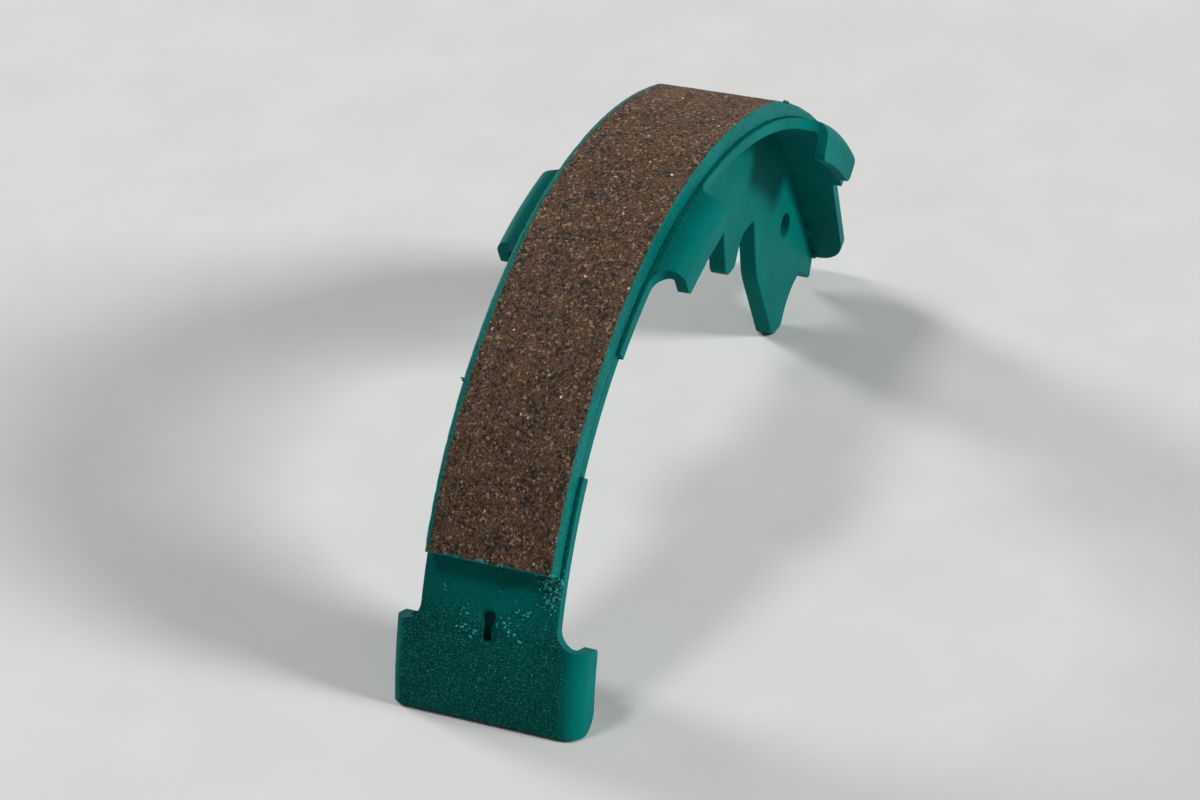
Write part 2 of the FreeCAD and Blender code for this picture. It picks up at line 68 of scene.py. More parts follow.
# The photograph's camera about the drum axis: its place, then its axes to the right, up and back
CAMERA_PLACE = (-0.52588, -0.24529, 0.39756)
CAMERA_AXES = ((0.40742, -0.91126, -0.06013), (0.50636, 0.17062, 0.84527), (-0.76001, -0.37483, 0.53094))
FOCAL_PIXELS, PHOTO_WIDTH, SENSOR_WIDTH = 3542.5, 1200, 36
CLIP_START, CLIP_END = 0.01, 20

# Sockets of a Mix node for colours: the share and both colours, and the result
MIX_INPUTS, MIX_OUTPUT = (0, 6, 7), 2
BEVEL_SAMPLES = 6

# Colours of the paint, of the pale glints painted on its stipple and of dark specks of painted shade, and
# painted shade over a stipple nodule: full tone at its lit middle, darker outwards
PAINT_DARK, PAINT_LIGHT = (0.0, 0.135, 0.119), (0.0, 0.178, 0.155)
PAINT_GLINT, SPECK_SHADE = (0.06, 0.29, 0.262), (0.003, 0.016, 0.015)
NODULE_PAINTED_SHADE = ((0.05, 1.15), (0.3, 0.9), (0.55, 0.58), (0.75, 0.45))

# Patterns of the paint: waves or cells to a metre, and depths and edge radii in metres
TONE_SCALE, PATCH_SCALE, WEB_PATCH_SCALE, COAT_SCALE, SPECK_SCALE = 70, 260, 150, 900, 2600
STIPPLE_SCALE, STIPPLE_SHAKE, STIPPLE_REACH = 3500, 1800, 0.22 * MM
COAT_DEPTH, STIPPLE_DEPTH = 0.06 * MM, 0.25 * MM
RIM_EDGE, WEB_EDGE, CRUMB_EDGE = 0.35 * MM, 0.25 * MM, 0.05 * MM

# Where the rim's paint changes: heights of the foot's stipple and of the dark specks of painted shade, the
# foot flanges' end along X
FOOT_HEIGHTS = (17.5 * MM, 22.5 * MM)
SPECK_SHADE_HEIGHTS = (27.2 * MM, 28.4 * MM)
FLANGE_ENDS = (-60 * MM, -62 * MM)

# Colours of the friction material: its ground, its grains of three sizes and its shiny flakes
GROUND_BROWNS = ((0.25, (0.072, 0.041, 0.025)), (0.5, (0.108, 0.063, 0.039)), (0.75, (0.153, 0.093, 0.059)))
TAN_DUST, DARK_DUST = (0.235, 0.15, 0.098), (0.045, 0.027, 0.018)
TAN_FINE, DARK_FINE = (0.33, 0.22, 0.14), (0.026, 0.026, 0.021)
DARK_COARSE = (0.03, 0.03, 0.025)
FLAKE = (0.85, 0.82, 0.75)
FLAKE_ROUGHNESS, COAT_ROUGHNESS = (0.2, 0.2, 0.2), (0.5, 0.5, 0.5)

# Patterns of the friction material: waves or cells to a metre, and depths in metres
GROUND_SCALE, CROWD_SCALE, RAGGED_SCALE, PITTED_SCALE = 260, 230, 2300, 1800
COARSE_SCALE, FINE_SCALE, DUST_SCALE = 1500, 2500, 5200
GRAIN_SHAKE, GRAIN_REACH = 1500, 0.7 * MM
GRAIN_DEPTH, PITTED_DEPTH = 0.16 * MM, 0.2 * MM

# Odd multipliers and shifts that turn whole numbers into even random ones
HASH_AXES, HASH_SEED = (73856093, 19349663, 83492791), 2654435761
HASH_ROUNDS, HASH_SHIFT, HASH_MASK = ((15, 2246822519), (13, 3266489917)), 16, 0xFFFFFFFF

# Mesh of the lining: first loops from its near end and the step between the others, the worn corner's
# radius and turns, rows up each side and columns over the face
NEAR_RUNS, RUN_STEP = [spot * MM for spot in (0, 0.05, 0.13, 0.27, 0.5)], 0.3 * MM
CORNER, CORNER_TURNS = 0.5 * MM, [step * math.pi / 8 for step in range(4)]
SIDE_ROWS, FACE_COLUMNS = 11, 80

# Relief of the lining: size and seed of each pattern, then how deep each goes
COARSE, FINE, LARGE, CHIPPED = (0.9 * MM, 1), (0.42 * MM, 2), (3.1 * MM, 3), (1.4 * MM, 4)
COARSE_RELIEF, FINE_RELIEF, LARGE_RELIEF, SIDE_RELIEF_SHARE = 0.05 * MM, 0.07 * MM, 0.04 * MM, 0.35
PIT_DEPTH, CHIP_DEPTH, HOLE_LEVEL = 0.22 * MM, 0.9 * MM, 0.55
CHIPPED_LENGTH, OTHER_CHIPS_SHARE = 3 * MM, 0.25

# How far wear reaches from the long edges, over the face and down the side, and from the near edge likewise
LONG_WEAR, LONG_WEAR_DOWN, NEAR_WEAR, NEAR_WEAR_DOWN = 0.45 * MM, 0.5 * MM, 0.7 * MM, 0.6 * MM

# Which points sink into the face or a side: those this close to it, or this worn at an edge. The sink
# into a side falls off down to a least share.
FACE_DEPTH, SIDE_DEPTH, EDGE_WEAR = 0.2 * MM, 0.3 * MM, 0.4
SIDE_FADE, SIDE_LEAST = 3 * MM, 0.3

# Paint on the lining: bands along its left, right and near edges, how they fade and wander, and where and
# by how much the left one is wider
LEFT_BAND, RIGHT_BAND, NEAR_BAND = 0.75 * MM, 0.15 * MM, 0.2 * MM
BAND_FADE, RIGHT_FADE, SIDE_WANDER, NEAR_WANDER = 0.3 * MM, 0.25 * MM, 0.175 * MM, 0.7 * MM
WIDER_RUN, WIDER_LENGTH, WIDER_BY = 45 * MM, 25 * MM, 0.5 * MM
SIDE_PAINT, SIDE_PAINT_DOWN = 0.95, 0.3 * MM

# A smudge of paint on the friction face: its run from the near end, place across, sizes and strength
SMUDGE_RUN, SMUDGE_ACROSS = 45.7 * MM, 1.1 * MM
SMUDGE_LENGTH, SMUDGE_WIDTH, SMUDGE_SHARE = 0.9 * MM, 0.4 * MM, 0.62

# How the random crumbs differ in size, in stretch along each axis and from corner to corner
CRUMB_SEED, CRUMB_SIZES, CRUMB_LUMPS = 5, (0.5, 1.15), (0.75, 1.2)
CRUMB_STRETCHES = ((0.8, 1.4), (0.6, 1.0), (0.8, 1.3))

# Weld beads on each side of the web: place along the tongue and size, then half sizes of a full one, and
# how deep its middle sits in the tongue and how far beside the web
WELD_SPOTS = ((-4 * MM, 1), (4 * MM, 0.7))
WELD_ALONG, WELD_UP, WELD_ACROSS = 1.7 * MM, 0.85 * MM, 0.95 * MM
WELD_SUNK, WELD_BESIDE = 0.15 * MM, 0.1 * MM
WELD_SEED, WELD_LUMPS = 8, (0.96, 1.04)

# Studio: tones of the floor, the backdrop as pale as the floor, the world's light, and the lamps with
# name, place, width in metres and power in watts
FLOOR_HALF, FLOOR_SCALE = 1.6, 40
FLOOR_TONES = ((0.3, (0.7, 0.7, 0.69)), (0.7, (0.74, 0.74, 0.73)))
BACKDROP, BACKDROP_STRENGTH = (0.74, 0.74, 0.73, 1), 1
SKY, SKY_STRENGTH = (0.94, 0.97, 1.0, 1), 0.09
LAMP_AIM = Vector((0, 0, 0.03))
LAMPS = (("right_key", (0.43, -3.8, 2.04), 1.1, 154),
         ("top_soft", (-0.44, 0.72, 2.2), 0.5, 14),
         ("left_edge", (1.36, 4.0, 1.52), 1.2, 123))


def standing(point):
    """A point given about the drum axis, in metres, where the standing shoe has it."""
    return LEVEL @ Vector(point) + SHIFT


def outwards(angle):
    """Unit vector from the drum axis towards an angle in degrees."""
    turn = math.radians(angle)
    return Vector((-math.cos(turn), 0, math.sin(turn)))


def round_drum(radius, angle, across):
    """A point by its radius, its angle in degrees and its place along the drum axis."""
    return standing(outwards(angle) * radius + Vector((0, across, 0)))


def lining_top(angle):
    """Radius of the friction face, which falls evenly with the angle at its thin end."""
    return DRUM_RADIUS - RAMP_DROP * max(angle - RAMP_START, 0) / (LINING_END - RAMP_START)


# Crumbs of paint: how many, on what radius in metres, about what angle and place across, how far they
# spread round the drum and across, and their size. Angles are in degrees, the other sizes in millimetres.
TOP, LEDGE = DRUM_RADIUS, RIM_OUTER
CRUMBS = (
    (12, LEDGE, 21.6, 4.6, 0.35, 1.3, 0.4),
    (14, LEDGE, 23.1, -4.6, 0.6, 1.4, 0.42),
    (5, LEDGE, 26.4, 8.6, 0.25, 0.7, 0.36),
    (7, LEDGE, 24.3, 4.8, 0.4, 0.9, 0.34),
    (7, LEDGE, 25.2, -6.3, 0.3, 0.7, 0.38),
    (4, LEDGE, 26.5, -9.3, 0.2, 0.5, 0.36),
    (3, LEDGE, 23.9, -10.7, 0.15, 0.4, 0.34),
    (3, LEDGE, 22.5, -5.3, 0.12, 0.4, 0.46),
    (100, LEDGE, 29.3, -11.4, 1.0, 1.3, 0.42),
    (34, LEDGE, 27.4, -11.6, 0.9, 0.9, 0.3),
    (80, LEDGE, 21.0, 0, 4.5, 7, 0.2),
    (30, TOP - 0.3 * MM, 30.55, -0.5, 0.1, 1.5, 0.33),
    (40, TOP - 0.4 * MM, 30.7, -11, 0.25, 1.4, 0.36),
    (24, TOP - 0.3 * MM, 30.5, 3, 0.1, 6, 0.2),
    (150, LEDGE, 45, -12.95, 12, 0.12, 0.13),
    (170, LEDGE, 85, -12.95, 16, 0.12, 0.12),
    (60, LEDGE, 60, 12.95, 16, 0.12, 0.12),
)

# Smooth drops of paint, a little sunk in what they sit on: four round the slot, two on the lining's right
# edge near its thin end, and two for a whisker on its left edge. Radius in metres, angle in degrees, and in
# millimetres the place across and the half sizes along, across and up.
SUNK = LEDGE - 0.12 * MM
DROPS = (
    (SUNK - 0.26 * MM, 22.2, 1.12, 2.3, 0.36, 0.32),
    (SUNK - 0.26 * MM, 22.0, -1.12, 2.0, 0.34, 0.32),
    (SUNK, 20.6, 0.2, 0.55, 1.5, 0.34),
    (SUNK, 20.9, 1.2, 0.8, 0.6, 0.4),
    (lining_top(113.9) - 0.1 * MM, 113.9, -12.2, 0.5, 0.36, 0.42),
    (lining_top(114.8) - 0.1 * MM, 114.8, -12.25, 0.35, 0.3, 0.36),
    (TOP - 0.2 * MM, 50.5, 12.55, 0.14, 0.65, 0.14),
    (TOP - 0.1 * MM, 50.3, 12.3, 0.3, 0.4, 0.2),
)


class Nodes:
    """A material's node tree, with short calls to add nodes and links."""

    def __init__(self, name):
        self.material = bpy.data.materials.new(name)
        self.material.use_nodes = True
        self.tree = self.material.node_tree
        self.shader = self.tree.nodes["Principled BSDF"]
        self.place = self.add("ShaderNodeTexCoord").outputs["Object"]

    def add(self, kind, **settings):
        """A new node with its settings."""
        node = self.tree.nodes.new(kind)
        for name, value in settings.items():
            setattr(node, name, value)
        return node

    def feed(self, socket, value):
        """Links an output to a socket, or sets the socket to a number, a vector or a colour."""
        if hasattr(value, "is_linked"):
            self.tree.links.new(value, socket)
        elif isinstance(value, (tuple, list)) and len(socket.default_value) == 4:
            socket.default_value = (*value, 1)
        else:
            socket.default_value = value

    def fill(self, node, values, output=0):
        """Feeds a node's first sockets in their order, and gives one of its outputs."""
        for socket, value in zip(node.inputs, values):
            self.feed(socket, value)
        return node.outputs[output]

    def set(self, **values):
        """Feeds the shader's own sockets. An underscore stands for a space."""
        for name, value in values.items():
            self.feed(self.shader.inputs[name.replace("_", " ")], value)

    def math(self, operation, *values):
        """One step of reckoning with numbers."""
        return self.fill(self.add("ShaderNodeMath", operation=operation), values)

    def vectors(self, operation, *values, output="Vector"):
        """One step of reckoning with vectors."""
        return self.fill(self.add("ShaderNodeVectorMath", operation=operation), values, output)

    def span(self, value, low, high, out_low=0.0, out_high=1.0):
        """Maps a number from one range to another and holds it there."""
        return self.fill(self.add("ShaderNodeMapRange"), (value, low, high, out_low, out_high))

    def mix(self, share, first, second, mode="MIX"):
        """A share of the second colour over the first, or the two blended by another mode."""
        node = self.add("ShaderNodeMix", data_type="RGBA", blend_type=mode)
        for index, value in zip(MIX_INPUTS, (share, first, second)):
            self.feed(node.inputs[index], value)
        return node.outputs[MIX_OUTPUT]

    def ramp(self, value, *stops):
        """Colours or greys at places from 0 to 1."""
        node = self.add("ShaderNodeValToRGB")
        points = node.color_ramp.elements
        while len(points) > 1:
            points.remove(points[-1])
        for index, (spot, colour) in enumerate(stops):
            point = points[0] if index == 0 else points.new(spot)
            point.position = spot
            if not isinstance(colour, (tuple, list)):
                colour = (colour, colour, colour)
            point.color = (*colour, 1)
        self.feed(node.inputs["Fac"], value)
        return node.outputs["Color"]

    def noise(self, scale, detail, roughness=0.5, output="Fac"):
        """A cloudy pattern."""
        node = self.add("ShaderNodeTexNoise")
        node.inputs["Scale"].default_value = scale
        node.inputs["Detail"].default_value = detail
        node.inputs["Roughness"].default_value = roughness
        self.feed(node.inputs["Vector"], self.place)
        return node.outputs[output]

    def cells(self, scale, place, output="Distance"):
        """A pattern of cells: the distance from each one's middle, or its random colour."""
        node = self.add("ShaderNodeTexVoronoi")
        node.inputs["Scale"].default_value = scale
        self.feed(node.inputs["Vector"], place)
        return node.outputs[output]

    def grains(self, scale, place):
        """Two random numbers from 0 to 1 for each angular grain of a packed mass."""
        parts = self.add("ShaderNodeSeparateColor")
        self.feed(parts.inputs["Color"], self.cells(scale, place, "Color"))
        return parts.outputs["Red"], parts.outputs["Green"]

    def shaken(self, scale, reach):
        """The place, pushed about by noise so that grains lose their straight sides."""
        centred = self.vectors("SUBTRACT", self.noise(scale, 2, output="Color"), (0.5, 0.5, 0.5))
        return self.vectors("MULTIPLY_ADD", centred, (reach, reach, reach), self.place)

    def radius(self):
        """Distance from the drum axis, in metres."""
        from_axis = self.vectors("MULTIPLY", self.vectors("SUBTRACT", self.place, SHIFT), (1, 0, 1))
        return self.vectors("LENGTH", from_axis, output="Value")

    def axis(self, name):
        """One coordinate of the place, in metres."""
        parts = self.add("ShaderNodeSeparateXYZ")
        self.feed(parts.inputs[0], self.place)
        return parts.outputs[name]

    def rounded(self, radius):
        """Normals that roll over the edges, as a coat of paint does."""
        node = self.add("ShaderNodeBevel", samples=BEVEL_SAMPLES)
        node.inputs["Radius"].default_value = radius
        return node.outputs["Normal"]

    def bump(self, height, distance, strength, below=None):
        """Normals of a fine relief, over the normals below it."""
        node = self.add("ShaderNodeBump")
        self.feed(node.inputs["Strength"], strength)
        node.inputs["Distance"].default_value = distance
        self.feed(node.inputs["Height"], height)
        if below:
            self.feed(node.inputs["Normal"], below)
        return node.outputs["Normal"]


def paint_tone(m, painted_light_scale=1.0):
    """Slow changes of the teal paint's tone, made lighter or darker by a scale as painted light or shade."""
    dark, light = ([part * painted_light_scale for part in colour] for colour in (PAINT_DARK, PAINT_LIGHT))
    return m.ramp(m.noise(TONE_SCALE, 3), (0.3, dark), (0.7, light))


def paint_look(m, rough_share, edge, painted_light_scale=1.0, gloss=0.45, index=1.09, shade_specks=None):
    """Satin teal paint. Rough_share says where dry overspray stipples it; there each nodule is painted
    lighter in its middle and darker towards its edge as painted shade, and some carry a painted glint. The
    last argument says where dark specks of painted shade sit, and a scale makes the whole paint lighter or
    darker as painted light or shade.
    """
    tone = paint_tone(m, painted_light_scale)
    place = m.shaken(STIPPLE_SHAKE, STIPPLE_REACH)
    nodule = m.cells(STIPPLE_SCALE, place)
    first, second = m.grains(STIPPLE_SCALE, place)
    # Painted light and shade on the stipple: each nodule lighter in its middle and darker towards its edge,
    # as light falls on a bump
    shaded_stipple = m.mix(1.0, tone, m.ramp(nodule, *NODULE_PAINTED_SHADE), "MULTIPLY")
    # Painted glints: pale dots on the middles of some nodules
    glint = m.math("MULTIPLY", m.span(first, 0.5, 0.95), m.span(nodule, 0.55, 0.2))
    shaded_stipple = m.mix(glint, shaded_stipple, PAINT_GLINT)
    colour = m.mix(rough_share, tone, shaded_stipple)
    if shade_specks:
        # Dark specks of painted shade, standing in for shadowed pits and crumbs in the crease beside the
        # lining
        specks = m.span(m.noise(SPECK_SCALE, 3, 0.7), 0.42, 0.36)
        colour = m.mix(m.math("MULTIPLY", specks, shade_specks), colour, SPECK_SHADE)
    m.set(Base_Color=colour, Specular_IOR_Level=0.5, IOR=index,
          Roughness=m.span(m.math("MULTIPLY", rough_share, second), 0, 1, gloss, gloss + 0.15))
    coat = m.bump(m.noise(COAT_SCALE, 2), COAT_DEPTH, 0.6, m.rounded(edge))
    height = m.math("SUBTRACT", m.math("MULTIPLY", second, 0.6), nodule)
    m.set(Normal=m.bump(height, STIPPLE_DEPTH, m.math("MULTIPLY", rough_share, 0.85), coat))
    return m.material


def rim_paint():
    """The rim's paint: stippled on its foot and left foot flange, with dark specks of painted shade beside
    the lining.
    """
    m = Nodes("rim_paint")
    x, y, z = m.axis("X"), m.axis("Y"), m.axis("Z")
    off = m.math("ABSOLUTE", y)
    on_back = m.span(m.radius(), RIM_OUTER - 0.5 * MM, RIM_OUTER - 0.1 * MM)

    not_right = m.span(y, -FLANGE_START - 1.2 * MM, -FLANGE_START + 1.5 * MM)
    low = m.span(z, *FOOT_HEIGHTS, 1, 0.3)
    foot = m.math("MULTIPLY", m.math("MULTIPLY", on_back, not_right), low)
    left = m.math("MULTIPLY", m.span(y, FLANGE_START - 0.6 * MM, FLANGE_START), m.span(x, *FLANGE_ENDS))
    patchy = m.span(m.noise(PATCH_SCALE, 3), 0.3, 0.7, 0, 0.15)
    share = m.math("MAXIMUM", m.math("MAXIMUM", foot, m.math("MULTIPLY", left, 0.65)), patchy)

    ledge = m.math("MULTIPLY", m.span(off, LINING_HALF - 0.3 * MM, LINING_HALF),
                   m.span(off, RIM_HALF + 0.1 * MM, RIM_HALF + 1.6 * MM, 1, 0))
    beside = m.math("MULTIPLY", ledge, m.span(z, *SPECK_SHADE_HEIGHTS))
    return paint_look(m, share, RIM_EDGE, shade_specks=m.math("MULTIPLY", beside, on_back))


def web_paint():
    """The web's paint: the same teal made a little darker as painted shade, and smooth but for faint patches.
    """
    m = Nodes("web_paint")
    return paint_look(m, m.span(m.noise(WEB_PATCH_SCALE, 4), 0.45, 0.75, 0.0, 0.15), WEB_EDGE, painted_light_scale=0.88)


def lit_crumb_paint():
    """Paint of the dry crumbs: the same teal made lighter as painted light on their lit tops, and glossier
    than the coat.
    """
    m = Nodes("lit_crumb_paint")
    return paint_look(m, 0.15, CRUMB_EDGE, painted_light_scale=1.6, gloss=0.28, index=1.4)


def friction():
    """Pressed friction material: brown packed with black, tan and shiny grains, painted at its sides."""
    m = Nodes("friction_material")
    place = m.shaken(GRAIN_SHAKE, GRAIN_REACH)
    coarse, coarse_height = m.grains(COARSE_SCALE, place)
    fine, fine_height = m.grains(FINE_SCALE, place)
    dust, dust_height = m.grains(DUST_SCALE, place)
    crowd = m.span(m.noise(CROWD_SCALE, 2), 0.35, 0.65, -0.08, 0.08)
    dark_fine, dark_coarse = m.math("ADD", fine, crowd), m.math("ADD", coarse, crowd)

    colour = m.ramp(m.noise(GROUND_SCALE, 6, 0.75), *GROUND_BROWNS)
    for grain, start, full, shade in ((dust, 0.82, 0.84, TAN_DUST), (dust, 0.2, 0.18, DARK_DUST),
                                      (dark_fine, 0.16, 0.12, DARK_FINE), (fine, 0.92, 0.94, TAN_FINE),
                                      (dark_coarse, 0.07, 0.04, DARK_COARSE)):
        colour = m.mix(m.span(grain, start, full), colour, shade)
    flake = m.math("MULTIPLY", m.span(fine, 0.5, 0.5005), m.span(fine, 0.5016, 0.501))
    colour = m.mix(flake, colour, FLAKE)

    painted = m.add("ShaderNodeAttribute", attribute_name="painted").outputs["Fac"]
    ragged = m.math("ADD", painted, m.span(m.noise(RAGGED_SCALE, 3, 0.6), 0.2, 0.8, -0.28, 0.28))
    coat = m.span(ragged, 0.47, 0.53)
    # Painted shade on the lining's painted sides: the teal is darker on low grains and lighter on high ones,
    # following the grains' relief
    painted_grain_shade = m.ramp(fine_height, (0.0, 0.72), (0.4, 1.0), (1.0, 1.25))
    teal = m.mix(1.0, paint_tone(m), painted_grain_shade, "MULTIPLY")
    bare = m.mix(flake, m.span(fine_height, 0, 1, 0.55, 0.9), FLAKE_ROUGHNESS)
    m.set(Base_Color=m.mix(coat, colour, teal), Specular_IOR_Level=0.5, IOR=1.16,
          Roughness=m.mix(coat, bare, COAT_ROUGHNESS))

    heights = m.mix(0.35, m.mix(0.5, coarse_height, fine_height), dust_height)
    rough = m.bump(heights, GRAIN_DEPTH, 0.75)
    m.set(Normal=m.bump(m.noise(PITTED_SCALE, 4, 0.7), PITTED_DEPTH, 0.6, rough))
    return m.material


def smooth_noise(points, cell, seed):
    """Random numbers from 0 to 1 that change smoothly over about one cell, for an array of points."""
    spots = points / cell
    base = np.floor(spots).astype(np.int64)
    part = spots - base
    part = part * part * (3 - 2 * part)
    total = np.zeros(len(points))
    for corner in itertools.product((0, 1), repeat=3):
        mixed = seed * HASH_SEED
        for spot, factor in zip((base + corner).T, HASH_AXES):
            mixed = mixed ^ spot * factor
        for shift, factor in HASH_ROUNDS:
            mixed = (mixed ^ (mixed >> shift)) * factor & HASH_MASK
        value = (mixed ^ (mixed >> HASH_SHIFT)) / HASH_MASK
        total += value * np.prod(np.where(corner, part, 1 - part), axis=1)
    return total


def bell(distance, width):
    """1 at no distance, falling to nearly 0 at twice the width."""
    return np.exp(-(distance / width) ** 2)


def band(distance, end, fade):
    """1 up to the end of a band, and 0 past its faded edge."""
    return 1 - np.clip((distance - end) / fade, 0, 1)


def finish_piece(name, shape, material):
    """Turns a shape in the making into a smooth piece that rides on the shoe."""
    mesh = bpy.data.meshes.new(name)
    shape.to_mesh(mesh)
    shape.free()
    mesh.materials.append(material)
    mesh.polygons.foreach_set("use_smooth", [True] * len(mesh.polygons))
    piece = bpy.data.objects.new(name, mesh)
    scene.collection.objects.link(piece)
    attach(piece, "root")
    return piece


def lining_section(height, corner):
    """Section from the right foot over the face to the left foot, as places across and up."""
    side = [(-LINING_HALF, (height - corner) * step / SIDE_ROWS) for step in range(SIDE_ROWS)]
    bend = [(-LINING_HALF + corner - corner * math.cos(turn), height - corner + corner * math.sin(turn))
            for turn in CORNER_TURNS]
    top = [(-LINING_HALF + corner + (LINING_WIDTH - 2 * corner) * step / FACE_COLUMNS, height)
           for step in range(FACE_COLUMNS // 2 + 1)]
    section = side + bend + top
    return section + [(-across, up) for across, up in reversed(section[:-1])]


def lining_grid(runs):
    """Points of the unworn lining about the drum axis. Each comes with its distance from the side, the
    face and the near end, and its place across."""
    inner = DRUM_RADIUS - LINING_THICKNESS
    points, places = [], []
    for run in runs:
        angle = LINING_START + math.degrees(run / DRUM_RADIUS)
        worn = max(CORNER - run, 0)
        height = lining_top(angle) - inner
        height -= CORNER - math.sqrt(CORNER ** 2 - worn ** 2)
        for across, up in lining_section(height, min(CORNER, height * 0.6)):
            points.append(outwards(angle) * (inner + up) + Vector((0, across, 0)))
            places.append((max(LINING_HALF - abs(across), 0), height - up, run, across))
    return np.array(points), np.array(places).T


def wear(points, beside, below, run, across, large):
    """Moves the lining's points inwards: relief and pits on its face, and chips out of its edges."""
    coarse, fine, chipped = (smooth_noise(points, *kind) for kind in (COARSE, FINE, CHIPPED))
    at_edge = np.maximum(bell(beside, LONG_WEAR) * bell(below, LONG_WEAR_DOWN),
                         bell(run, NEAR_WEAR) * bell(below, NEAR_WEAR_DOWN))
    relief = COARSE_RELIEF * coarse + FINE_RELIEF * fine + LARGE_RELIEF * large
    pits = PIT_DEPTH * np.clip(coarse * fine - HOLE_LEVEL, 0, 1)
    chips = CHIP_DEPTH * np.clip(chipped - HOLE_LEVEL, 0, 1) * at_edge
    chips *= np.where(run < CHIPPED_LENGTH, 1, OTHER_CHIPS_SHARE)
    on_face = below < FACE_DEPTH
    depth = np.where(on_face, relief + pits, SIDE_RELIEF_SHARE * relief) + chips

    turn = np.radians(LINING_START) + run / DRUM_RADIUS
    out = np.stack([-np.cos(turn), 0 * run, np.sin(turn)], axis=1)
    sideways = np.stack([0 * run, np.sign(across), 0 * run], axis=1)
    faces_out = on_face | (at_edge > EDGE_WEAR)
    faces_side = beside < SIDE_DEPTH
    near_face = np.clip(1 - below / SIDE_FADE, SIDE_LEAST, 1)
    points -= out * (depth * faces_out)[:, None]
    points -= sideways * (depth * faces_side * near_face)[:, None]


def painted_share(beside, below, run, across, large):
    """How painted each point of the lining is: its sides, bands along three edges and a smudge."""
    wander = large - 0.5
    wider = WIDER_BY * bell(run - WIDER_RUN, WIDER_LENGTH)
    left = band(beside, LEFT_BAND + wider + SIDE_WANDER * wander, BAND_FADE)
    right = band(beside, RIGHT_BAND + SIDE_WANDER * wander, RIGHT_FADE)
    near = band(run, NEAR_BAND + NEAR_WANDER * wander, BAND_FADE)
    edges = np.maximum(np.where(across > 0, left, right), near)
    smudge = SMUDGE_SHARE * bell(run - SMUDGE_RUN, SMUDGE_LENGTH) * bell(across - SMUDGE_ACROSS, SMUDGE_WIDTH)
    return np.maximum(np.where(below > SIDE_PAINT_DOWN, SIDE_PAINT, edges), smudge)


def build_lining(material):
    """The friction lining with worn corners, chipped edges and a grainy face."""
    length = math.radians(LINING_END - LINING_START) * DRUM_RADIUS
    runs = NEAR_RUNS + list(np.arange(NEAR_RUNS[-1] + RUN_STEP, length - RUN_STEP / 2, RUN_STEP)) + [length]
    points, places = lining_grid(runs)
    large = smooth_noise(points, *LARGE)
    wear(points, *places, large)

    shape = bmesh.new()
    spots = [shape.verts.new(standing(point)) for point in points]
    count = len(spots) // len(runs)
    loops = [spots[start:start + count] for start in range(0, len(spots), count)]
    for (first, second), column in itertools.product(itertools.pairwise(loops), range(count)):
        after = (column + 1) % count
        shape.faces.new((first[column], first[after], second[after], second[column]))
    shape.faces.new(loops[0][::-1])
    shape.faces.new(loops[-1])
    bmesh.ops.recalc_face_normals(shape, faces=shape.faces)
    piece = finish_piece("grained_lining", shape, material)

    painted = piece.data.attributes.new("painted", "FLOAT", "POINT")
    painted.data.foreach_set("value", painted_share(*places, large))
    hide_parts("friction_lining")


def build_weld_beads(material):
    """Four small weld beads between the web and the tongue, two on each side of the web."""
    facing = outwards(TONGUE_FACING)
    along = Vector((facing.z, 0, -facing.x))
    rng = random.Random(WELD_SEED)
    shape = bmesh.new()
    for side, (spot, size) in itertools.product((-1, 1), WELD_SPOTS):
        made = bmesh.ops.create_icosphere(shape, subdivisions=3, radius=1)
        centre = facing * (TONGUE_PLANE - WELD_SUNK) + along * spot
        centre.y = side * (WEB_HALF + WELD_BESIDE)
        for vertex in made["verts"]:
            x, y, z = vertex.co * rng.uniform(*WELD_LUMPS)
            place = centre + along * z * WELD_ALONG * size + facing * x * WELD_UP * size
            place.y += y * WELD_ACROSS * size
            vertex.co = standing(place)
    finish_piece("weld_beads", shape, material)


def carries(radius, angle, across):
    """Whether the rim's back or the lining's face lies under a place, with a small margin to its edges."""
    off = abs(across)
    if radius > RIM_OUTER + MM:
        return angle > LINING_START + 0.15 and off < LINING_HALF
    in_slot = SLOT_START < angle < SLOT_END and off < SLOT_HALF
    in_hollow = off > HOLLOW_HALF and any(start < angle < end for start, end in HOLLOWS)
    bare = angle < LINING_START - 0.1 or off > LINING_HALF
    on_rim = off < RIM_HALF - 0.1 * MM and angle > FOOT_START + 0.8
    return bare and on_rim and not in_slot and not in_hollow


def add_crumb(shape, rng, centre, normal, size):
    """One lump of dry paint, half sunk in what it sits on."""
    made = bmesh.ops.create_icosphere(shape, subdivisions=1, radius=size)
    lean = normal.to_track_quat("Z", "Y").to_matrix().to_4x4()
    spin = Matrix.Rotation(rng.uniform(0, math.tau), 4, "Z")
    flat = Matrix.Diagonal((*(rng.uniform(*reach) for reach in CRUMB_STRETCHES), 1))
    for vertex in made["verts"]:
        vertex.co *= rng.uniform(*CRUMB_LUMPS)
    bmesh.ops.transform(shape, verts=made["verts"], matrix=Matrix.Translation(centre) @ lean @ spin @ flat)


def build_crumbs(material):
    """Dry lumps of paint scattered in groups over the foot and along the lining."""
    rng = random.Random(CRUMB_SEED)
    shape = bmesh.new()
    for count, radius, angle, across, angle_spread, across_spread, size in CRUMBS:
        for _ in range(count):
            spot = angle + rng.gauss(0, angle_spread)
            place = across * MM + rng.gauss(0, across_spread * MM)
            if carries(radius, spot, place):
                add_crumb(shape, rng, round_drum(radius, spot, place), LEVEL @ outwards(spot),
                          size * MM * rng.uniform(*CRUMB_SIZES))
    finish_piece("paint_crumbs", shape, material)


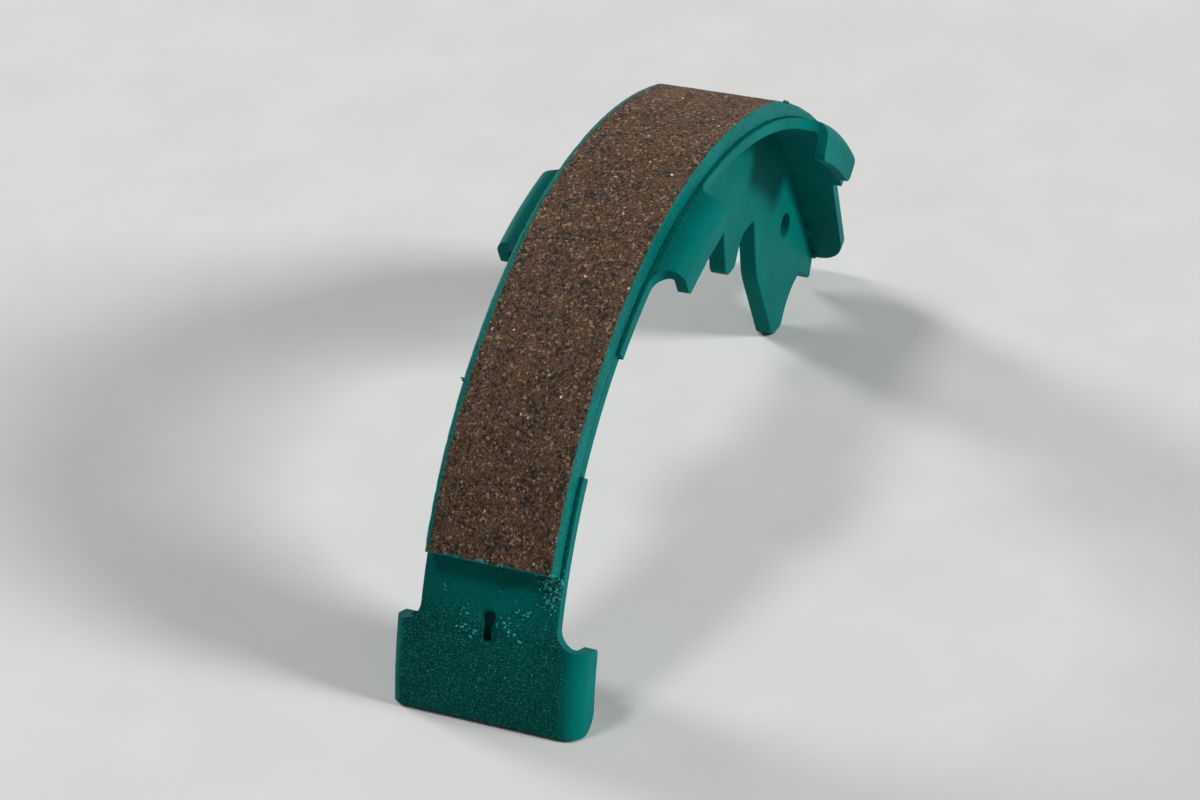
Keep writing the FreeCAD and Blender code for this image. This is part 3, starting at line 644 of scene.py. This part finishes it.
def build_drops(material):
    """Smooth swellings of thick paint."""
    shape = bmesh.new()
    side = Vector((0, 1, 0))
    for radius, angle, across, *half_sizes in DROPS:
        made = bmesh.ops.create_icosphere(shape, subdivisions=3, radius=1)
        normal = LEVEL @ outwards(angle)
        axes = Matrix((normal.cross(side), side, normal)).transposed().to_4x4()
        sizes = Matrix.Diagonal((*(half * MM for half in half_sizes), 1))
        centre = Matrix.Translation(round_drum(radius, angle, across * MM))
        bmesh.ops.transform(shape, verts=made["verts"], matrix=centre @ axes @ sizes)
    finish_piece("paint_drops", shape, material)


def dress(node, material):
    """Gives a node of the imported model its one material."""
    data = nodes[node].data
    data.materials.clear()
    data.materials.append(material)


def place_camera():
    """Puts the camera where the photograph was taken."""
    data = bpy.data.cameras.new("camera")
    data.sensor_width = SENSOR_WIDTH
    data.lens = SENSOR_WIDTH * FOCAL_PIXELS / PHOTO_WIDTH
    data.clip_start, data.clip_end = CLIP_START, CLIP_END
    camera = bpy.data.objects.new("camera", data)
    scene.collection.objects.link(camera)
    turn = Matrix([LEVEL @ Vector(axis) for axis in CAMERA_AXES]).transposed().to_4x4()
    camera.matrix_world = Matrix.Translation(standing(CAMERA_PLACE)) @ turn
    scene.camera = camera


def build_floor():
    """A pale floor that takes the shoe's shadow."""
    mesh = bpy.data.meshes.new("floor")
    corners = [(x * FLOOR_HALF, y * FLOOR_HALF, 0) for x, y in ((-1, -1), (1, -1), (1, 1), (-1, 1))]
    mesh.from_pydata(corners, [], [(0, 1, 2, 3)])
    floor = bpy.data.objects.new("floor", mesh)
    scene.collection.objects.link(floor)
    m = Nodes("floor_surface")
    m.set(Base_Color=m.ramp(m.noise(FLOOR_SCALE, 3), *FLOOR_TONES), Roughness=0.8)
    mesh.materials.append(m.material)


def build_world():
    """A faint sky that lights the shoe, and a pale backdrop that is only seen."""
    world = bpy.data.worlds.new("studio")
    world.use_nodes = True
    tree = world.node_tree
    glow = tree.nodes["Background"]
    backdrop = tree.nodes.new("ShaderNodeBackground")
    for node, colour, strength in ((glow, SKY, SKY_STRENGTH), (backdrop, BACKDROP, BACKDROP_STRENGTH)):
        node.inputs["Color"].default_value = colour
        node.inputs["Strength"].default_value = strength
    ray = tree.nodes.new("ShaderNodeLightPath")
    seen = ray.outputs["Is Camera Ray"]
    for kind in ("Is Glossy Ray", "Is Transmission Ray"):
        either = tree.nodes.new("ShaderNodeMath")
        either.operation = "MAXIMUM"
        tree.links.new(seen, either.inputs[0])
        tree.links.new(ray.outputs[kind], either.inputs[1])
        seen = either.outputs[0]
    choice = tree.nodes.new("ShaderNodeMixShader")
    for socket, output in zip(choice.inputs, (seen, glow.outputs[0], backdrop.outputs[0])):
        tree.links.new(output, socket)
    tree.links.new(choice.outputs[0], tree.nodes["World Output"].inputs["Surface"])
    scene.world = world


def area_light(name, place, width, power):
    """A soft round lamp that looks at the shoe."""
    data = bpy.data.lights.new(name, "AREA")
    data.shape = "DISK"
    data.size = width
    data.energy = power
    lamp = bpy.data.objects.new(name, data)
    scene.collection.objects.link(lamp)
    lamp.location = place
    lamp.rotation_euler = (LAMP_AIM - Vector(place)).to_track_quat("-Z", "Y").to_euler()


# Colours render as they are written
scene.view_settings.view_transform = "Standard"
place_camera()

teal_rim, shaded_teal_web, lit_teal_crumbs, brown = rim_paint(), web_paint(), lit_crumb_paint(), friction()
dress("shoe_rim", teal_rim)
dress("web_plate", shaded_teal_web)
dress("friction_lining", brown)
build_lining(brown)
build_weld_beads(shaded_teal_web)
build_crumbs(lit_teal_crumbs)
build_drops(teal_rim)

build_floor()
build_world()
for lamp_settings in LAMPS:
    area_light(*lamp_settings)
